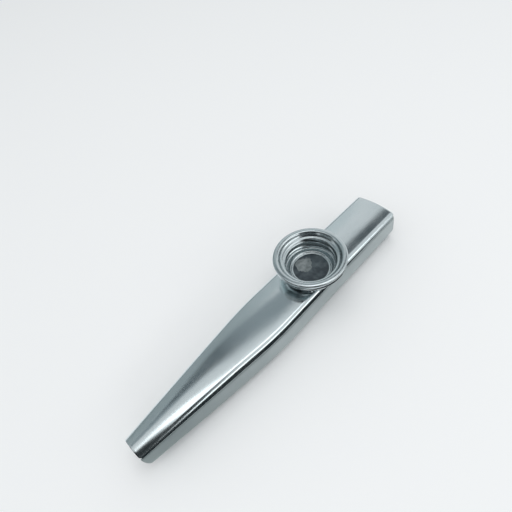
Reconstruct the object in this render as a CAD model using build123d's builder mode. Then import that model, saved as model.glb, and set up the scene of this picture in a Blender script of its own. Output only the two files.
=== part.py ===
"""Metal kazoo: two stamped shells, and a cup that screws into a collar and clamps the membrane.

The body lies along X with the mouth end at +X, and stands on its flat underside at Z = 0.
"""

import os
from math import asin, degrees, sqrt

from build123d import *

# Body
length = 120.0
sheet = 0.5
lap_clearance = 0.05
overrun = 1.0

# Outline from above, as half widths of the upper shell's skirt
outlet_half_width = 4.2
widest_half_width = 9.25
mouth_half_width = 8.6
widest_x = -7.4
outline_bend_radius = 150.0

# Heights and roundings of the two shells
seam_height = 11.5
lap_height = 0.2
lip_depth = 1.2
wall_outset = 0.2
crown_rise = 2.9
crown_drop_at_ends = 0.75
crown_radius_across = 32.0
flank_slope = 0.4
shoulder_radius = 2.5
trough_corner_radius = 3.8
outlet_lift = 2.6
outlet_lift_length = 40.0
outlet_corner_radius = 3.2

# Collar and membrane seat on the upper shell
turret_x = 20.7
collar_bore_radius = 9.55
collar_wall = 0.45
collar_rise = 6.5
collar_corner_radius = 1.4
seat_rise = 1.4
seat_width = 2.95

# Membrane and its ring
membrane_clearance = 0.55
membrane_thickness = 0.15
ring_clearance = 0.25
ring_width = 2.4
ring_thickness = 0.4

# Resonator cup, with heights above its foot
cup_sheet = 0.35
cup_clearance = 0.1
cup_floor_width = 2.8
cup_lip_radius = 0.5
cup_shelf_width = 1.4
cup_shelf_height = 5.6
cup_crest_width = 2.5
cup_crest_rise = 0.85
cup_edge_drop = 0.4
cup_height = 7.2
cup_grip_depth = 2.15
cup_grip_taper = 0.6
cup_edge_radius = 0.3

half_length = length / 2
half_width_limit = widest_half_width + overrun
flank_stretch = sqrt(1 + flank_slope**2)
lip_inset = sheet * flank_stretch + flank_slope * lap_height + lap_clearance
lift_radius = (outlet_lift_length**2 + outlet_lift**2) / (2 * outlet_lift)
collar_radius = collar_bore_radius + collar_wall
seat_hole_radius = collar_bore_radius - seat_width
membrane_radius = collar_bore_radius - membrane_clearance
ring_outer_radius = collar_bore_radius - ring_clearance
ring_inner_radius = ring_outer_radius - ring_width
collar_top = seam_height + collar_rise
seat_top = seam_height + seat_rise
seat_bottom = seat_top - collar_wall
membrane_top = seat_top + membrane_thickness
cup_foot = membrane_top + ring_thickness
cup_wall_radius = collar_bore_radius - cup_clearance
cup_inner_radius = cup_wall_radius - cup_sheet
cup_hole_radius = cup_inner_radius - cup_floor_width
cup_shelf_radius = cup_inner_radius + cup_shelf_width
cup_rim_radius = cup_shelf_radius + cup_crest_width
cup_shoulder_height = cup_height - cup_crest_rise
cup_edge_height = cup_height - cup_edge_drop
turret_axis = Axis((turret_x, 0, 0), (0, 0, 1))


def outline(inset, reach, height):
    """The body from above: a straight taper to the outlet and a soft bend at the widest place."""
    taper = (widest_half_width - outlet_half_width) / (half_length + widest_x)
    drift = (mouth_half_width - widest_half_width) / (half_length - widest_x)
    outlet_corner = (-half_length - reach, outlet_half_width - taper * reach - inset)
    bend = (widest_x, widest_half_width - inset)
    mouth_corner = (half_length + reach, mouth_half_width + drift * reach - inset)
    with BuildSketch(Plane.XY.offset(height)) as plan:
        with BuildLine():
            side = FilletPolyline(outlet_corner, bend, mouth_corner, radius=outline_bend_radius)
            mirror(side, about=Plane.XZ)
            Line(side @ 0, (outlet_corner[0], -outlet_corner[1]))
            Line(side @ 1, (mouth_corner[0], -mouth_corner[1]))
        make_face()
    return plan.sketch


def trough(inset, reach):
    """The lower shell's form: upright walls and a flat underside that lifts towards the outlet."""
    floor = inset + wall_outset
    top = seam_height - lap_clearance + reach
    inner_lift_radius = lift_radius - floor
    lift_angle = degrees(asin((outlet_lift_length + reach) / inner_lift_radius))
    with BuildPart() as form:
        extrude(outline(inset, reach, 0), amount=top)
        with BuildSketch(Plane.XZ):
            with BuildLine():
                flat = Line((half_length + reach, floor), (outlet_lift_length - half_length, floor))
                lift = JernArc(flat @ 1, flat % 1, inner_lift_radius, -lift_angle)
                Polyline(lift @ 1, ((lift @ 1).X, top), (half_length + reach, top), flat @ 0)
            make_face()
        extrude(amount=half_width_limit, both=True, mode=Mode.INTERSECT)
        underside = form.faces().filter_by(lambda face: face.normal_at().Z < 0)
        fillet(underside.edges().filter_by(Axis.Y, reverse=True), trough_corner_radius - floor)
    return form.part


def lip():
    """The lower shell's folded rim: it stiffens the wall and tucks inside the upper shell."""
    start = seam_height - lip_depth
    with BuildPart() as form:
        extrude(outline(sheet / 2 - wall_outset, 0, start), amount=lip_depth - lap_clearance)
        extrude(outline(lip_inset, 0, start), amount=lip_depth + lap_height)
        inside = outline(lip_inset + sheet, overrun, start)
        extrude(inside, amount=lip_depth + lap_height, mode=Mode.SUBTRACT)
    return form.part


def crown(inset, reach):
    """The upper shell's form: a top arched along and across, soft shoulders and leaning flanks."""
    arch_radius = (half_length**2 + crown_drop_at_ends**2) / (2 * crown_drop_at_ends)
    arch_angle = degrees(asin((half_length + reach + overrun) / arch_radius))
    arch_centre = Vector(0, 0, seam_height + crown_rise - arch_radius)
    across = crown_radius_across - inset
    across_angle = degrees(asin(half_width_limit / across))
    apex = arch_radius - inset
    low = arch_radius - crown_rise - reach - overrun
    start = Plane(arch_centre, x_dir=(0, 1, 0), z_dir=(1, 0, 0)).rotated((0, -arch_angle, 0))
    rise = crown_rise + overrun
    side_inset = inset * flank_stretch
    foot = outline(side_inset - flank_slope * reach, reach, seam_height - reach)
    top = outline(side_inset + flank_slope * rise, reach, seam_height + rise)
    with BuildPart() as form:
        loft([foot, top])
        with BuildSketch(start):
            with BuildLine():
                arch = CenterArc((0, apex - across), across, 90 - across_angle, 2 * across_angle)
                Polyline(arch @ 1, (-half_width_limit, low), (half_width_limit, low), arch @ 0)
            make_face()
        revolve(
            axis=Axis(arch_centre, (0, 1, 0)),
            revolution_arc=2 * arch_angle,
            mode=Mode.INTERSECT,
        )
        arched_top = form.faces().sort_by(Axis.Z)[-1]
        inside_ends = half_length + reach - sheet
        shoulders = arched_top.edges().filter_by_position(Axis.X, -inside_ends, inside_ends)
        fillet(shoulders, shoulder_radius - inset)
    return form.part


os.makedirs("parts", exist_ok=True)

with BuildPart() as lower_shell:
    add(trough(-wall_outset, 0))
    add(trough(sheet - wall_outset, overrun), mode=Mode.SUBTRACT)
    add(lip())
    round_start = outlet_lift_length - outlet_corner_radius
    round_height = lift_radius - sqrt(lift_radius**2 - round_start**2) + outlet_corner_radius
    with BuildSketch(Plane.XZ):
        with Locations((outlet_corner_radius - half_length, round_height)):
            Rectangle(outlet_corner_radius, outlet_corner_radius, align=Align.MAX)
            Circle(outlet_corner_radius, mode=Mode.SUBTRACT)
    extrude(amount=half_width_limit, both=True, mode=Mode.SUBTRACT)
lower_shell.part.label = "lower_shell"
export_step(lower_shell.part, "parts/lower_shell.step")

with BuildPart() as upper_shell:
    add(crown(0, 0))
    add(crown(sheet, overrun), mode=Mode.SUBTRACT)
    with BuildSketch(Plane.XY.offset(seat_top)):
        with Locations((turret_x, 0)):
            Circle(collar_bore_radius)
    extrude(amount=collar_rise, mode=Mode.SUBTRACT)
    with BuildSketch(Plane.XZ) as section:
        with BuildLine():
            Polyline(
                (turret_x + seat_hole_radius, seat_bottom),
                (turret_x + collar_radius, seat_bottom),
                (turret_x + collar_radius, collar_top),
                (turret_x + collar_bore_radius, collar_top),
                (turret_x + collar_bore_radius, seat_top),
                (turret_x + seat_hole_radius, seat_top),
                close=True,
            )
        make_face()
        fillet(section.vertices().group_by(Axis.Y)[0].sort_by(Axis.X)[-1], collar_corner_radius)
    revolve(axis=turret_axis)
upper_shell.part.label = "upper_shell"
export_step(upper_shell.part, "parts/upper_shell.step")

with BuildPart() as membrane:
    with BuildSketch(Plane.XY.offset(seat_top)):
        with Locations((turret_x, 0)):
            Circle(membrane_radius)
    extrude(amount=membrane_thickness)
membrane.part.label = "membrane"
export_step(membrane.part, "parts/membrane.step")

with BuildPart() as membrane_ring:
    with BuildSketch(Plane.XY.offset(membrane_top)):
        with Locations((turret_x, 0)):
            Circle(ring_outer_radius)
            Circle(ring_inner_radius, mode=Mode.SUBTRACT)
    extrude(amount=ring_thickness)
membrane_ring.part.label = "membrane_ring"
export_step(membrane_ring.part, "parts/membrane_ring.step")

with BuildPart() as resonator_cup:
    with BuildSketch(Plane((turret_x, 0, cup_foot), x_dir=(1, 0, 0), z_dir=(0, -1, 0))):
        with BuildLine():
            bowl = Polyline(
                (cup_hole_radius, cup_sheet),
                (cup_inner_radius, cup_sheet),
                (cup_inner_radius, cup_shelf_height),
                (cup_shelf_radius, cup_shelf_height),
                (cup_shelf_radius, cup_shoulder_height),
            )
            crest = ThreePointArc(
                bowl @ 1,
                ((cup_shelf_radius + cup_rim_radius) / 2, cup_height),
                (cup_rim_radius, cup_edge_height),
            )
            grip = Line(
                crest @ 1,
                (cup_rim_radius - cup_grip_taper, cup_edge_height - cup_grip_depth),
            )
            offset(amount=cup_sheet, side=Side.RIGHT)
        make_face()
        with Locations((cup_hole_radius + cup_lip_radius, cup_lip_radius)):
            Circle(cup_lip_radius)
        with Locations(grip @ 1):
            Circle(cup_edge_radius)
    revolve(axis=turret_axis)
resonator_cup.part.label = "resonator_cup"
export_step(resonator_cup.part, "parts/resonator_cup.step")
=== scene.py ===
from math import asin, atan2, cos, hypot, pi, radians, sin, sqrt

import bmesh
import bpy
from mathutils import Matrix, Vector, noise


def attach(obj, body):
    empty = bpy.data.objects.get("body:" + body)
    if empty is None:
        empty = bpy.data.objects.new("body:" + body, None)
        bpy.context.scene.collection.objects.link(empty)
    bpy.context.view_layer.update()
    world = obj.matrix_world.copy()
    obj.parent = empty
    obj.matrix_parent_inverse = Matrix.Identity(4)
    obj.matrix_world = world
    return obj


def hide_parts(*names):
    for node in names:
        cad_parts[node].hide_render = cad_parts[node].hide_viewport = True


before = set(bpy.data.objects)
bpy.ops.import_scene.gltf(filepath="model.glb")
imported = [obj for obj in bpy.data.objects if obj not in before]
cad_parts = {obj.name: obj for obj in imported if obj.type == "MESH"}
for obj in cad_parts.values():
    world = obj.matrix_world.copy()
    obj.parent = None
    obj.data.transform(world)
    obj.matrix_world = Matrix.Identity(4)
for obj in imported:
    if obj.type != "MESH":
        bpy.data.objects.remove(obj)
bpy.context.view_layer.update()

MM = 0.001

# Body, in millimetres as in the part's source
HALF_LENGTH = 60.0
SHEET = 0.5
OUTLET_HALF_WIDTH = 4.2
WIDEST_HALF_WIDTH = 9.25
MOUTH_HALF_WIDTH = 8.6
WIDEST_X = -7.4
BEND_REACH = 7.9
SEAM_HEIGHT = 11.5
SEAM_GAP = 0.05
WALL_OUTSET = 0.2
CROWN_RISE = 2.9
CROWN_DROP = 0.75
CROWN_RADIUS = 32.0
OUTLET_CROWN_RADIUS = 6.0
CROWN_ROUNDING_LENGTH = 38.0
CROWN_ROUNDING_POWER = 1.5
FLANK_SLOPE = 0.4
SHOULDER_RADIUS = 2.5
SHOULDER_ROWS = 2.0
SHORTEST_FLANK = 0.001
END_CORNER = 0.5
END_CORNER_EDGE = 0.3
TROUGH_CORNER = 4.5
TROUGH_CORNER_LIMIT = 0.82
FLOOR_SHARE = 0.3
CORNER_SHARE = 0.35
SEAM_DRAW_IN = 1.2
OUTLET_LIFT = 2.7
OUTLET_LIFT_LENGTH = 40.0
OUTLET_CORNER = 4.7
OUTLET_CORNER_TOP = 10.4
MOUTH_STEP = 0.45
MOUTH_STEP_START = 7.0
SETTLE_ROUNDS = 6
RIM_ROUNDING = 0.09
RIM_ANGLE = 50.0
MERGE_DISTANCE = 0.0001
UPPER_GRID = (220, 100)
LOWER_GRID = (200, 90)

# Collar, membrane and cup
TURRET_X = 20.7
BORE_RADIUS = 9.55
COLLAR_RADIUS = 10.0
COLLAR_TOP = 18.0
SEAT_TOP = 12.9
SEAT_BOTTOM = 12.45
SEAT_HOLE_RADIUS = 6.6
COLLAR_CORNER = 1.4
COLLAR_FILLET = 0.9
COLLAR_EDGE = 0.1
COLLAR_PLAIN_DEPTH = 1.2
COLLAR_INSIDE_STEP = 0.3
COLLAR_SINK = 0.02
COLLAR_STEPS = 144
COLLAR_FOOT_ROWS = 8
OVERHANG = (6.6, 8.4)
HOLE_RADIUS = (BORE_RADIUS + COLLAR_RADIUS) / 2
HOLE_EDGE_DEPTH = 0.2
HOLE_EDGE_MERGE = 0.05
FLANK_MARGIN = 0.5
END_MARGIN = 2.0
FLAT_EDGE = 0.002
MEMBRANE_RADIUS = 9.0
MEMBRANE_THICKNESS = 0.15
CUP_FOOT = 13.45
THREAD_START = 1.35
THREAD_PITCH = 2.45
THREAD_DEPTH = 0.5
THREAD_SHARPNESS = 3
THREAD_RADII = (8.9, 9.6)
THREAD_FOOT = (0.5, 1.1)
THREAD_TOP = (4.5, 5.15)
# Painted shade darkening the groove of the cup's rolled thread: its bounds and its dark colour
GROOVE_SHADE_WAVE = (0.2, 0.75)
GROOVE_SHADE_RADII = (9.7, 9.9)
GROOVE_SHADE_FOOT = (0.5, 0.9)
GROOVE_SHADE_TOP = (4.8, 5.2)
GROOVE_SHADE_COLOUR = (0.24, 0.275, 0.285, 1.0)
KNURLS = 120
STEPS_PER_KNURL = 4
KNURL_DEPTH = 0.05
KNURL_RADII = (12.75, 12.95)
KNURL_FOOT = 6.1
CUP_WALL_ROWS = 40
CUP_TALL_STEP = 3.0
FILM_ROWS = 36
FILM_STEPS = 120
FILM_LOOSE = (5.6, 6.5)
WIDE_CRUMPLE, WIDE_CRUMPLE_HEIGHT = 0.9, 0.16
FINE_CRUMPLE, FINE_CRUMPLE_HEIGHT = 1.7, 0.14
FINE_CRUMPLE_SHIFT = (5, 2, 1)
PATCH_MIDDLE = (TURRET_X - 0.4, 3.1, SEAT_TOP)
PATCH_EDGE = (4.95, 5.15)
PATCH_RAGGEDNESS = 4.0
FILM_BUMP = 0.1


def smooth_step(low, high, value):
    """A soft change from 0 at low to 1 at high."""
    share = min(max((value - low) / (high - low), 0.0), 1.0)
    return share * share * (3 - 2 * share)


def half_width(x):
    """The body's half width at the seam: a straight taper and a soft bend at the widest place."""
    taper = (WIDEST_HALF_WIDTH - OUTLET_HALF_WIDTH) / (HALF_LENGTH + WIDEST_X)
    drift = (MOUTH_HALF_WIDTH - WIDEST_HALF_WIDTH) / (HALF_LENGTH - WIDEST_X)
    along = x - WIDEST_X
    if along <= -BEND_REACH:
        return WIDEST_HALF_WIDTH + taper * along
    if along >= BEND_REACH:
        return WIDEST_HALF_WIDTH + drift * along
    turn = (drift - taper) / (4 * BEND_REACH)
    return WIDEST_HALF_WIDTH + taper * along + turn * (along + BEND_REACH) ** 2


def crown_radius(x):
    """Radius of the arched top across the body, rounder where the body narrows to the outlet."""
    share = min(max((HALF_LENGTH + x) / CROWN_ROUNDING_LENGTH, 0.0), 1.0)
    return OUTLET_CROWN_RADIUS + (CROWN_RADIUS - OUTLET_CROWN_RADIUS) * share**CROWN_ROUNDING_POWER


def shoulder(x):
    """Centre of the shoulder's rounding, and the angles where it meets the top and the flank."""
    lean = sqrt(1 + FLANK_SLOPE**2)
    arch_middle = CROWN_RISE - CROWN_DROP * (x / HALF_LENGTH) ** 2 - crown_radius(x)
    side = half_width(x) - SHOULDER_RADIUS * lean
    reach = crown_radius(x) - SHOULDER_RADIUS
    a = FLANK_SLOPE**2 + 1
    b = -2 * side * FLANK_SLOPE - 2 * arch_middle
    c = side**2 + arch_middle**2 - reach**2
    height = (-b + sqrt(b * b - 4 * a * c)) / (2 * a)
    across = side - FLANK_SLOPE * height
    meeting = atan2(height - arch_middle, across)
    leaving = max(atan2(FLANK_SLOPE, 1.0), asin(max(-height / SHOULDER_RADIUS, 0.0)))
    return across, height, arch_middle, meeting, leaving


def upper_section(x, share):
    """A point of the upper shell's section: share runs from -1 at one edge over 0 to 1."""
    across, height, arch_middle, meeting, leaving = shoulder(x)
    top_y = across + SHOULDER_RADIUS * cos(leaving)
    top_z = height + SHOULDER_RADIUS * sin(leaving)
    arch = crown_radius(x)
    crown_run = arch * (pi / 2 - meeting)
    shoulder_run = SHOULDER_RADIUS * (meeting - leaving) * SHOULDER_ROWS
    flank_run = hypot(half_width(x) - top_y, top_z)
    place = abs(share) * (crown_run + shoulder_run + flank_run)
    if place < crown_run:
        angle = pi / 2 + (meeting - pi / 2) * place / crown_run
        y = arch * cos(angle)
        z = arch_middle + arch * sin(angle)
    elif place < crown_run + shoulder_run or flank_run < SHORTEST_FLANK:
        angle = meeting + (leaving - meeting) * (place - crown_run) / shoulder_run
        y = across + SHOULDER_RADIUS * cos(angle)
        z = height + SHOULDER_RADIUS * sin(angle)
    else:
        down = (place - crown_run - shoulder_run) / flank_run
        y = top_y + (half_width(x) - top_y) * down
        z = top_z * (1 - down)
    return (y if share >= 0 else -y), z + SEAM_HEIGHT


def rounded_end(x, y):
    """How far the rounded corners of the upper shell's ends step back, from the middle out."""
    start = half_width(x) - END_CORNER_EDGE - END_CORNER
    out = min(max(abs(y) - start, 0), END_CORNER)
    return END_CORNER - sqrt(END_CORNER**2 - out**2)


def crown_height(x, y):
    """Height of the upper shell's outside over a place of the plan."""
    across, height, arch_middle, meeting, leaving = shoulder(x)
    side = abs(y)
    arch = crown_radius(x)
    if side < arch * cos(meeting):
        return SEAM_HEIGHT + arch_middle + sqrt(arch**2 - side**2)
    if side < across + SHOULDER_RADIUS * cos(leaving):
        return SEAM_HEIGHT + height + sqrt(max(SHOULDER_RADIUS**2 - (side - across) ** 2, 0))
    return SEAM_HEIGHT + max((half_width(x) - side) / FLANK_SLOPE, 0)


def trough_floor(x):
    """Height of the underside, which lifts towards the outlet."""
    lift_radius = (OUTLET_LIFT_LENGTH**2 + OUTLET_LIFT**2) / (2 * OUTLET_LIFT)
    run = max(OUTLET_LIFT_LENGTH - HALF_LENGTH - x, 0)
    return lift_radius - sqrt(lift_radius**2 - run**2)


def trough_section(x, share):
    """A point of the lower shell's section: share runs from -1 at one edge over 0 to 1."""
    wall = half_width(x) + WALL_OUTSET
    floor = trough_floor(x)
    corner = min(TROUGH_CORNER, wall * TROUGH_CORNER_LIMIT)
    place = abs(share)
    if place < FLOOR_SHARE:
        y, z = (wall - corner) * place / FLOOR_SHARE, floor
    elif place < FLOOR_SHARE + CORNER_SHARE:
        angle = pi / 2 * (place - FLOOR_SHARE) / CORNER_SHARE
        y = wall - corner + corner * sin(angle)
        z = floor + corner - corner * cos(angle)
    else:
        low = floor + corner
        high = SEAM_HEIGHT - SEAM_GAP
        up = (place - FLOOR_SHARE - CORNER_SHARE) / (1 - FLOOR_SHARE - CORNER_SHARE)
        z = low + (high - low) * up
        y = wall - WALL_OUTSET * smooth_step(high - SEAM_DRAW_IN, high, z) ** 2
    return (y if share >= 0 else -y), z


def in_hole(point):
    """Whether a place on the upper sheet lies where the collar stands."""
    return hypot(point.x - TURRET_X, point.y) < HOLE_RADIUS and point.z > SEAT_TOP


def end_cut(z):
    """Where the lower shell begins at a height: its end rounds off down to the underside."""
    low = trough_floor(OUTLET_CORNER - HALF_LENGTH)
    drop = min(max((OUTLET_CORNER_TOP - z) / (OUTLET_CORNER_TOP - low), 0), 1)
    return OUTLET_CORNER * (1 - sqrt(1 - drop**2)) - HALF_LENGTH


def finish_piece(bm, name, body, material, sharp_angle=40.0):
    """Turns a bmesh in millimetres into a finished piece that rides on a body."""
    bmesh.ops.scale(bm, vec=(MM, MM, MM), verts=bm.verts)
    mesh = bpy.data.meshes.new(name)
    bm.to_mesh(mesh)
    bm.free()
    mesh.polygons.foreach_set("use_smooth", [True] * len(mesh.polygons))
    mesh.set_sharp_from_angle(angle=radians(sharp_angle))
    piece = bpy.data.objects.new(name, mesh)
    bpy.context.scene.collection.objects.link(piece)
    mesh.materials.append(material)
    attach(piece, body)
    return piece


def thicken(piece):
    """Gives a sheet its thickness inwards and rounds its cut edges."""
    wall = piece.modifiers.new("wall", "SOLIDIFY")
    wall.thickness = SHEET * MM
    wall.offset = -1.0
    wall.use_even_offset = False
    rims = piece.modifiers.new("rims", "BEVEL")
    rims.width = RIM_ROUNDING * MM
    rims.segments = 2
    rims.limit_method = "ANGLE"
    rims.angle_limit = radians(RIM_ANGLE)
    rims.harden_normals = False


def spin_profile(bm, profile, steps, closed=True):
    """Turns a profile of radius and height round the turret's axis."""
    verts = [bm.verts.new((TURRET_X + radius, 0, height)) for radius, height in profile]
    pairs = list(zip(verts, verts[1:] + verts[:1] if closed else verts[1:]))
    edges = [bm.edges.new(pair) for pair in pairs]
    bmesh.ops.spin(
        bm,
        geom=verts + edges,
        cent=(TURRET_X, 0, 0),
        axis=(0, 0, 1),
        angle=2 * pi,
        steps=steps,
        use_merge=True,
    )
    bmesh.ops.remove_doubles(bm, verts=bm.verts, dist=MERGE_DISTANCE)
    bmesh.ops.recalc_face_normals(bm, faces=bm.faces)


# Materials

def start_material(name):
    """A new material with its nodes, links and shader."""
    material = bpy.data.materials.new(name)
    material.use_nodes = True
    nodes = material.node_tree.nodes
    return material, nodes, material.node_tree.links, nodes["Principled BSDF"]


def scaled_noise(nodes, links, scale, detail=3.0, stretch=(1, 1, 1), roughness=0.55):
    """Noise on the object's own coordinates, stretched along an axis where asked."""
    place = nodes.new("ShaderNodeTexCoord")
    turn = nodes.new("ShaderNodeMapping")
    turn.inputs["Scale"].default_value = stretch
    grain = nodes.new("ShaderNodeTexNoise")
    grain.inputs["Scale"].default_value = scale
    grain.inputs["Detail"].default_value = detail
    grain.inputs["Roughness"].default_value = roughness
    links.new(place.outputs["Object"], turn.inputs["Vector"])
    links.new(turn.outputs["Vector"], grain.inputs["Vector"])
    return grain.outputs["Fac"]


def ramp(nodes, links, value, stops):
    """Colours along a value."""
    colours = nodes.new("ShaderNodeValToRGB")
    elements = colours.color_ramp.elements
    while len(elements) < len(stops):
        elements.new(0.5)
    for element, (position, colour) in zip(elements, stops):
        element.position = position
        element.color = (*colour, 1.0)
    links.new(value, colours.inputs["Fac"])
    return colours.outputs["Color"]


def spread(nodes, links, value, low, high, start=0.3, end=0.7):
    """A value stretched to lie between low and high."""
    reach = nodes.new("ShaderNodeMapRange")
    reach.inputs["From Min"].default_value = start
    reach.inputs["From Max"].default_value = end
    reach.inputs["To Min"].default_value = low
    reach.inputs["To Max"].default_value = high
    links.new(value, reach.inputs["Value"])
    return reach.outputs["Result"]


def calculate(nodes, links, operation, *values):
    """A sum on sockets and numbers."""
    step = nodes.new("ShaderNodeMath")
    step.operation = operation
    for value, socket in zip(values, step.inputs):
        if isinstance(value, (int, float)):
            socket.default_value = value
        else:
            links.new(value, socket)
    return step.outputs["Value"]


def mixed(nodes, links, share, first, second):
    """Two colours mixed by a share, each a socket or a plain colour."""
    mix = nodes.new("ShaderNodeMix")
    mix.data_type = "RGBA"
    links.new(share, mix.inputs["Factor"])
    for name, colour in (("A", first), ("B", second)):
        if isinstance(colour, tuple):
            mix.inputs[name].default_value = colour
        else:
            links.new(colour, mix.inputs[name])
    return mix.outputs["Result"]


def roughen(nodes, links, shader, height, depth):
    """Bumps on a surface, as deep as given."""
    bump = nodes.new("ShaderNodeBump")
    bump.inputs["Strength"].default_value = 1.0
    bump.inputs["Distance"].default_value = depth
    links.new(height, bump.inputs["Height"])
    links.new(bump.outputs["Normal"], shader.inputs["Normal"])


def thread_groove_shade(nodes, links):
    """Painted shade: 1 in the groove of the cup's rolled thread, where the cup's colour is darkened,
    and 0 on its ridge and on the rest of the cup.
    """
    place = nodes.new("ShaderNodeTexCoord")
    axes = nodes.new("ShaderNodeSeparateXYZ")
    links.new(place.outputs["Object"], axes.inputs["Vector"])
    y, z = axes.outputs["Y"], axes.outputs["Z"]
    x = calculate(nodes, links, "SUBTRACT", axes.outputs["X"], TURRET_X * MM)
    turns = calculate(nodes, links, "DIVIDE", calculate(nodes, links, "ARCTAN2", y, x), 2 * pi)
    height = calculate(nodes, links, "SUBTRACT", z, (CUP_FOOT + THREAD_START) * MM)
    rise = calculate(nodes, links, "DIVIDE", height, THREAD_PITCH * MM)
    phase = calculate(nodes, links, "SUBTRACT", rise, turns)
    wave = calculate(nodes, links, "COSINE", calculate(nodes, links, "MULTIPLY", phase, 2 * pi))
    side = calculate(nodes, links, "MULTIPLY", y, y)
    radius = calculate(nodes, links, "SQRT", calculate(nodes, links, "MULTIPLY_ADD", x, x, side))
    groove = spread(nodes, links, wave, 1.0, 0.0, *GROOVE_SHADE_WAVE)
    inside = spread(nodes, links, radius, 1.0, 0.0, *[value * MM for value in GROOVE_SHADE_RADII])
    foot = spread(nodes, links, z, 0.0, 1.0, *[(CUP_FOOT + value) * MM for value in GROOVE_SHADE_FOOT])
    top = spread(nodes, links, z, 1.0, 0.0, *[(CUP_FOOT + value) * MM for value in GROOVE_SHADE_TOP])
    wall = calculate(nodes, links, "MULTIPLY", calculate(nodes, links, "MULTIPLY", foot, top), inside)
    return calculate(nodes, links, "MULTIPLY", groove, wall)


def sheet_metal(name, pale, dull, rough, grain_size, grain_depth, paint_groove_shade=False):
    """Stamped bright sheet: faint clouding, fine grain along the body and small scratches, and where
    asked painted shade darkening the thread's groove.
    """
    material, nodes, links, shader = start_material(name)
    shader.inputs["Metallic"].default_value = 1.0
    clouds = scaled_noise(nodes, links, 90.0, detail=4.0)
    colour = ramp(nodes, links, clouds, ((0.3, dull), (0.7, pale)))
    # Painted shade: the colour darkens in the thread's groove
    if paint_groove_shade:
        colour = mixed(nodes, links, thread_groove_shade(nodes, links), colour, GROOVE_SHADE_COLOUR)
    links.new(colour, shader.inputs["Base Color"])
    wear = scaled_noise(nodes, links, 260.0, detail=5.0, stretch=(0.35, 1, 1))
    links.new(spread(nodes, links, wear, *rough), shader.inputs["Roughness"])
    grain = scaled_noise(nodes, links, grain_size, detail=4.0, stretch=(0.25, 1, 1), roughness=0.6)
    roughen(nodes, links, shader, grain, grain_depth)
    return material


def film_material():
    """Thin slate film with a paler crumpled patch and small smears."""
    material, nodes, links, shader = start_material("buzzing film")
    place = nodes.new("ShaderNodeTexCoord")
    middle = nodes.new("ShaderNodeMapping")
    middle.vector_type = "TEXTURE"
    middle.inputs["Location"].default_value = [value * MM for value in PATCH_MIDDLE]
    links.new(place.outputs["Object"], middle.inputs["Vector"])
    length = nodes.new("ShaderNodeVectorMath")
    length.operation = "LENGTH"
    links.new(middle.outputs["Vector"], length.inputs[0])
    ragged = scaled_noise(nodes, links, 520.0)
    raggedness = PATCH_RAGGEDNESS * MM
    edge = calculate(nodes, links, "MULTIPLY_ADD", ragged, raggedness, length.outputs["Value"])
    patch = spread(nodes, links, edge, 1.0, 0.0, *[value * MM for value in PATCH_EDGE])
    smears = scaled_noise(nodes, links, 420.0, detail=4.0)
    slate = ramp(nodes, links, smears, ((0.4, (0.036, 0.05, 0.06)), (0.75, (0.1, 0.128, 0.14))))
    pale = ramp(nodes, links, ragged, ((0.3, (0.12, 0.145, 0.15)), (0.7, (0.3, 0.335, 0.34))))
    links.new(mixed(nodes, links, patch, slate, pale), shader.inputs["Base Color"])
    links.new(spread(nodes, links, smears, 0.3, 0.55), shader.inputs["Roughness"])
    roughen(nodes, links, shader, ragged, FILM_BUMP * MM)
    return material


def ring_material():
    """Plain matt ring with a faint mottling."""
    material, nodes, links, shader = start_material("matt ring")
    mottle = scaled_noise(nodes, links, 900.0, detail=4.0)
    pale, dull = (0.56, 0.56, 0.54), (0.48, 0.48, 0.46)
    links.new(ramp(nodes, links, mottle, ((0.3, dull), (0.7, pale))), shader.inputs["Base Color"])
    links.new(spread(nodes, links, mottle, 0.55, 0.75), shader.inputs["Roughness"])
    return material


upper_metal = sheet_metal(
    "polished crown sheet", (0.80, 0.87, 0.885), (0.73, 0.81, 0.83), (0.15, 0.22),
    grain_size=2400.0, grain_depth=0.0045 * MM,
)
# Satin roughness is the trough's own; its colour, darker than the crown's, is painted shade for the
# shaded floor it reflects
lower_metal = sheet_metal(
    "satin trough sheet with painted shade", (0.52, 0.58, 0.585), (0.46, 0.52, 0.53), (0.36, 0.46),
    grain_size=4200.0, grain_depth=0.005 * MM,
)
# The cup's thread groove is darkened as painted shade
cup_metal = sheet_metal(
    "bright cup sheet", (0.76, 0.83, 0.84), (0.68, 0.75, 0.77), (0.19, 0.28),
    grain_size=3200.0, grain_depth=0.0015 * MM, paint_groove_shade=True,
)

# Upper shell: a sheet bent to the section, with the collar turned on it
bm = bmesh.new()
bmesh.ops.create_grid(bm, x_segments=UPPER_GRID[0], y_segments=UPPER_GRID[1], size=1)
for vert in bm.verts:
    share = vert.co.y
    x = vert.co.x * HALF_LENGTH
    x *= 1 - rounded_end(x, upper_section(x, share)[0]) / HALF_LENGTH
    vert.co = (x, *upper_section(x, share))
inside = [face for face in bm.faces if in_hole(face.calc_center_median())]
bmesh.ops.delete(bm, geom=inside, context="FACES")
hole_edge = []
for vert in bm.verts:
    near_end = abs(vert.co.x) > HALF_LENGTH - END_MARGIN
    if not vert.is_boundary or near_end or vert.co.z < SEAT_TOP - HOLE_EDGE_DEPTH:
        continue
    hole_edge.append(vert)
    away = Vector((vert.co.x - TURRET_X, vert.co.y))
    away *= HOLE_RADIUS / away.length
    if abs(away.y) < half_width(TURRET_X + away.x) - FLANK_MARGIN:
        x, y = TURRET_X + away.x, away.y
        vert.co = (x, y, crown_height(x, y))
bmesh.ops.remove_doubles(bm, verts=hole_edge, dist=HOLE_EDGE_MERGE)
bmesh.ops.dissolve_degenerate(bm, edges=bm.edges, dist=FLAT_EDGE)
bmesh.ops.recalc_face_normals(bm, faces=bm.faces)
if sum(face.normal.z for face in bm.faces) < 0:
    bmesh.ops.reverse_faces(bm, faces=bm.faces)
upper = finish_piece(bm, "upper_shell_sheet", "shell", upper_metal)
thicken(upper)
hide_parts("upper_shell")

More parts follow.
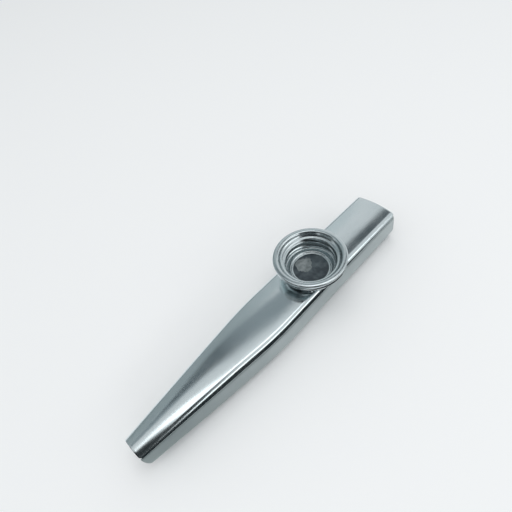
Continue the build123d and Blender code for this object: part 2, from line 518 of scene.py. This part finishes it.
# Collar: a drawn wall with a soft foot on the crown, and the seat for the film inside it
bm = bmesh.new()
foot_mark = -100.0
collar_profile = [
    (SEAT_HOLE_RADIUS, SEAT_BOTTOM),
    (SEAT_HOLE_RADIUS, SEAT_TOP),
    (BORE_RADIUS, SEAT_TOP),
    (BORE_RADIUS, COLLAR_TOP - COLLAR_EDGE),
    (BORE_RADIUS + COLLAR_EDGE, COLLAR_TOP),
    (COLLAR_RADIUS - COLLAR_EDGE, COLLAR_TOP),
    (COLLAR_RADIUS, COLLAR_TOP - COLLAR_EDGE),
    (COLLAR_RADIUS, COLLAR_TOP - COLLAR_PLAIN_DEPTH),
]
collar_profile += [(COLLAR_RADIUS, foot_mark - row) for row in range(COLLAR_FOOT_ROWS + 1)]
collar_profile += [(COLLAR_RADIUS - COLLAR_CORNER - COLLAR_INSIDE_STEP, SEAT_BOTTOM)]
spin_profile(bm, collar_profile, COLLAR_STEPS)
for vert in bm.verts:
    if vert.co.z > 0:
        continue
    row = round(foot_mark - vert.co.z) / COLLAR_FOOT_ROWS
    turn = atan2(vert.co.y, vert.co.x - TURRET_X)
    ahead, beside = cos(turn), sin(turn)
    overhang = smooth_step(*OVERHANG, abs(beside) * COLLAR_RADIUS)
    bend = row * pi / 2
    foot_radius = COLLAR_RADIUS + COLLAR_FILLET * (1 - cos(bend))
    plan_x = TURRET_X + ahead * foot_radius
    foot = crown_height(plan_x, beside * (COLLAR_RADIUS + COLLAR_FILLET)) - COLLAR_SINK
    foot_height = foot + COLLAR_FILLET * (1 - sin(bend))
    hang_radius = COLLAR_RADIUS - COLLAR_CORNER * (1 - cos(bend))
    hang_height = SEAT_BOTTOM + COLLAR_CORNER * (1 - sin(bend))
    radius = foot_radius + (hang_radius - foot_radius) * overhang
    height = foot_height + (hang_height - foot_height) * overhang
    vert.co = (TURRET_X + ahead * radius, beside * radius, height)
bmesh.ops.recalc_face_normals(bm, faces=bm.faces)
finish_piece(bm, "collar", "shell", upper_metal)

# Lower shell: a trough whose underside lifts to the rounded corner at the outlet
bm = bmesh.new()
bmesh.ops.create_grid(bm, x_segments=LOWER_GRID[0], y_segments=LOWER_GRID[1], size=1)
for vert in bm.verts:
    share = vert.co.y
    x = vert.co.x * HALF_LENGTH
    along = (x + HALF_LENGTH) / (2 * HALF_LENGTH)
    for _ in range(SETTLE_ROUNDS):
        z = trough_section(x, share)[1]
        cut = end_cut(z)
        mouth = HALF_LENGTH - MOUTH_STEP * smooth_step(MOUTH_STEP_START, SEAM_HEIGHT, z)
        x = cut + along * (mouth - cut)
    vert.co = (x, *trough_section(x, share))
bmesh.ops.recalc_face_normals(bm, faces=bm.faces)
if sum(face.normal.z for face in bm.faces) > 0:
    bmesh.ops.reverse_faces(bm, faces=bm.faces)
lower = finish_piece(bm, "lower_shell_sheet", "shell", lower_metal)
thicken(lower)
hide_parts("lower_shell")

# Resonator cup: a turned sheet with a lipped hole, rolled thread, funnel and rolled rim
cup_outer_profile = [
    (6.27, -0.12), (6.32, -0.24), (6.45, -0.3), (6.6, -0.28), (6.75, -0.12), (6.95, 0.0), (8.85, 0.0),
    (9.2, 0.1), (9.38, 0.28), (9.45, 0.6), (9.45, 4.6), (9.55, 4.74), (9.85, 4.84), (10.2, 5.06),
    (10.5, 5.36), (10.74, 5.72), (10.9, 6.1), (11.08, 6.45), (11.38, 6.7), (11.75, 6.83), (12.15, 6.82),
    (12.4, 6.72), (12.5, 6.5), (12.42, 6.0), (12.16, 4.9), (12.1, 4.64), (12.16, 4.44), (12.34, 4.36),
    (12.54, 4.43), (12.66, 4.6), (12.68, 4.8), (12.6, 5.0), (12.5, 5.3), (12.58, 5.75),
]
cup_inner_profile = [
    (12.66, 6.05), (12.8, 6.2), (12.92, 6.32), (12.98, 6.48), (13.0, 6.62), (12.98, 6.76),
    (12.88, 6.9), (12.68, 7.02), (12.4, 7.12), (12.1, 7.18), (11.8, 7.2), (11.5, 7.17), (11.24, 7.07),
    (11.02, 6.88), (10.84, 6.6), (10.7, 6.3), (10.54, 6.02), (10.32, 5.74), (10.08, 5.5), (9.9, 5.4),
    (9.7, 5.38), (9.5, 5.34), (9.32, 5.2), (9.18, 5.0), (9.1, 4.7), (9.1, 1.0), (9.02, 0.62),
    (8.85, 0.44), (8.55, 0.36), (7.8, 0.35), (7.6, 0.42), (7.42, 0.55), (7.22, 0.55), (7.04, 0.4),
    (6.9, 0.22), (6.74, 0.14), (6.6, 0.16), (6.46, 0.16), (6.34, 0.08), (6.28, -0.02),
]
cup_profile = cup_outer_profile + cup_inner_profile
rows = []
for (r0, z0), (r1, z1) in zip(cup_profile, cup_profile[1:] + cup_profile[:1]):
    cuts = CUP_WALL_ROWS if abs(z1 - z0) > CUP_TALL_STEP else 1
    rows += [(r0 + (r1 - r0) * k / cuts, CUP_FOOT + z0 + (z1 - z0) * k / cuts) for k in range(cuts)]
bm = bmesh.new()
spin_profile(bm, rows, KNURLS * STEPS_PER_KNURL)
for vert in bm.verts:
    across = Vector((vert.co.x - TURRET_X, vert.co.y))
    radius = across.length
    turn = atan2(across.y, across.x)
    height = vert.co.z - CUP_FOOT
    move = 0.0
    if THREAD_RADII[0] < radius < THREAD_RADII[1] and THREAD_FOOT[0] < height < THREAD_TOP[1]:
        phase = (height - THREAD_START) / THREAD_PITCH - turn / (2 * pi)
        ridge = (0.5 + 0.5 * cos(2 * pi * phase)) ** THREAD_SHARPNESS
        fade = smooth_step(*THREAD_FOOT, height) * (1 - smooth_step(*THREAD_TOP, height))
        move = -THREAD_DEPTH * ridge * fade
    if radius > KNURL_RADII[0] and height > KNURL_FOOT:
        tick = 0.5 + 0.5 * cos(KNURLS * turn)
        move = -KNURL_DEPTH * tick * smooth_step(*KNURL_RADII, radius)
    if move:
        across *= (radius + move) / radius
        vert.co.x, vert.co.y = TURRET_X + across.x, across.y
cup = finish_piece(bm, "cup_sheet", "cup", cup_metal, sharp_angle=60.0)
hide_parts("resonator_cup")

# Film: a thin crumpled disc
bm = bmesh.new()
film_top = SEAT_TOP + MEMBRANE_THICKNESS
film_radii = [MEMBRANE_RADIUS * k / FILM_ROWS for k in range(FILM_ROWS + 1)]
film_profile = [(radius, SEAT_TOP) for radius in film_radii]
film_profile += [(radius, film_top) for radius in reversed(film_radii)]
spin_profile(bm, film_profile, FILM_STEPS, closed=False)
for vert in bm.verts:
    radius = hypot(vert.co.x - TURRET_X, vert.co.y)
    loose = 1 - smooth_step(*FILM_LOOSE, radius)
    spot = Vector((vert.co.x, vert.co.y, 0))
    wide = noise.noise(spot * WIDE_CRUMPLE)
    fine = noise.noise(spot * FINE_CRUMPLE + Vector(FINE_CRUMPLE_SHIFT))
    vert.co.z += loose * (wide * WIDE_CRUMPLE_HEIGHT + abs(fine) * FINE_CRUMPLE_HEIGHT)
bmesh.ops.recalc_face_normals(bm, faces=bm.faces)
film = finish_piece(bm, "film", "membrane_pack", film_material(), sharp_angle=30.0)
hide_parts("membrane")

# Ring: the solid from the CAD, made matt
ring_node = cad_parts["membrane_ring"]
ring_node.data.materials.clear()
ring_node.data.materials.append(ring_material())

# Floor, cards and lamps

def plain_surface(name, colour, mouth_colour, change_from, change_to):
    """A matt stage surface, with a soft change of colour towards the mouth end where asked."""
    material, nodes, links, shader = start_material(name)
    shader.inputs["Base Color"].default_value = (*colour, 1.0)
    if mouth_colour:
        place = nodes.new("ShaderNodeTexCoord")
        axes = nodes.new("ShaderNodeSeparateXYZ")
        links.new(place.outputs["Object"], axes.inputs["Vector"])
        along = spread(nodes, links, axes.outputs["X"], 0.0, 1.0, change_from, change_to)
        change = ramp(nodes, links, along, ((0.0, colour), (1.0, mouth_colour)))
        links.new(change, shader.inputs["Base Color"])
    shader.inputs["Roughness"].default_value = 0.9
    shader.inputs["Specular IOR Level"].default_value = 0.0
    return material


def facing(place, aim):
    """A turn that faces a point."""
    return (Vector(aim) - Vector(place)).to_track_quat("-Z", "Y").to_matrix().to_4x4()


def level(angle):
    """A turn that lies level, at an angle in degrees to the body."""
    return Matrix.Rotation(radians(angle), 4, "Z")


def stage_card(name, width, height, place, turn, colour, mouth=(None, 0, 1), seen=False):
    """A flat card in the studio."""
    bm = bmesh.new()
    bmesh.ops.create_grid(bm, x_segments=1, y_segments=1, size=0.5)
    spread_out = Matrix.Diagonal((width, height, 1, 1))
    bmesh.ops.transform(bm, matrix=Matrix.Translation(place) @ turn @ spread_out, verts=bm.verts)
    mesh = bpy.data.meshes.new(name)
    bm.to_mesh(mesh)
    bm.free()
    mesh.materials.append(plain_surface(name, colour, *mouth))
    card = bpy.data.objects.new(name, mesh)
    bpy.context.scene.collection.objects.link(card)
    if not seen:
        card.visible_camera = False
        card.visible_diffuse = False
        card.visible_shadow = False


def soft_lamp(name, width, height, place, turn, strength):
    """A soft box: strength is how bright its face looks."""
    light = bpy.data.lights.new(name, "AREA")
    light.shape = "RECTANGLE"
    light.size, light.size_y = width, height
    light.energy = strength * pi * width * height
    lamp = bpy.data.objects.new(name, light)
    bpy.context.scene.collection.objects.link(lamp)
    lamp.location = place
    lamp.rotation_euler = turn.to_euler()
    return lamp


body_middle = (0, 0, 0.01)
dark = (0.02, 0.025, 0.028)
stage_card("floor", 8.0, 8.0, (0, 0, -0.00005), level(0), (0.94, 0.945, 0.945), seen=True)
dark_blue = (0.04, 0.055, 0.065)
mid_blue = (0.3, 0.34, 0.35)
dark_board = (0.135, 0.33, 0.6)
board_grey = (0.32, 0.36, 0.38)
stage_card("dark_board", 0.5, 0.29, dark_board, level(-50), dark_blue, (board_grey, 0.01, 0.14))
stage_card("west_board", 0.32, 0.26, (-0.14, 0.39, 0.6), level(0), (0.34, 0.38, 0.4))
stage_card("end_board", 0.5, 0.16, (0.5, 0.04, 0.6), level(-6), (0.06, 0.075, 0.085))
low_board = (0.05, 0.5, 0.36)
low_turn = facing(low_board, body_middle)
far_grey = (0.38, 0.42, 0.43)
far_pale = (0.7, 0.74, 0.75)
stage_card("low_board", 0.9, 0.3, low_board, low_turn, far_grey, (far_pale, 0.08, 0.32))
upright = Matrix.Rotation(pi / 2, 4, "X")
stage_card("back_flag", 0.9, 0.18, (0.05, 0.45, 0.09), upright, mid_blue)
side_board = (-0.293, -0.214, 0.24)
stage_card("side_board", 0.5, 0.56, side_board, facing(side_board, (-0.113, 0.056, 0.02)), dark)
back_board = (-0.42, 0.12, 0.22)
stage_card("back_board", 0.4, 0.5, back_board, facing(back_board, (0.02, 0, 0.02)), (0.06, 0.07, 0.075))
stage_card("front_flag", 0.35, 0.04, (-0.1, -0.1, 0.02), upright, dark)
grey = (0.4, 0.43, 0.44)
pale = (0.94, 0.94, 0.94)
stage_card("front_mat", 0.6, 0.32, (0, -0.184, 0.0004), level(0), dark, (grey, 0.06, 0.13))
# Painted shade: a grey sheet on the floor beside the body, seen only in reflections, stands in for the
# floor's shade there and fades to pale towards the mouth end
near_shade_grey = (0.48, 0.51, 0.51)
stage_card("near_painted_shade", 0.4, 0.016, (0, -0.014, 0.0002), level(0), near_shade_grey, (pale, -0.065, 0.0))

soft_lamp("overhead_box", 0.42, 0.17, (0.042, -0.09, 0.6), level(-26), 1.1)
side_strip = (0.02, -0.458, 0.24)
soft_lamp("side_strip", 0.8, 0.1, side_strip, facing(side_strip, body_middle), 1.4)
fill_box = soft_lamp("fill_box", 1.2, 1.2, (0, 0, 1.4), level(0), 1.0)
fill_box.visible_glossy = False

# Pale surround
world = bpy.data.worlds.new("studio")
world.use_nodes = True
surround = world.node_tree.nodes["Background"]
surround.inputs["Color"].default_value = (0.95, 0.98, 1.0, 1.0)
surround.inputs["Strength"].default_value = 0.66
bpy.context.scene.world = world

# Camera
camera_data = bpy.data.cameras.new("camera")
camera_data.lens = 28.768
camera_data.sensor_width = 36.0
camera_data.clip_start = 0.01
camera = bpy.data.objects.new("camera", camera_data)
bpy.context.scene.collection.objects.link(camera)
camera.location = (-0.042263, -0.061133, 0.13197)
camera.rotation_euler = (radians(38.55407), radians(9.3878), radians(-45.65186))
bpy.context.scene.camera = camera

bpy.context.scene.view_settings.view_transform = "Standard"
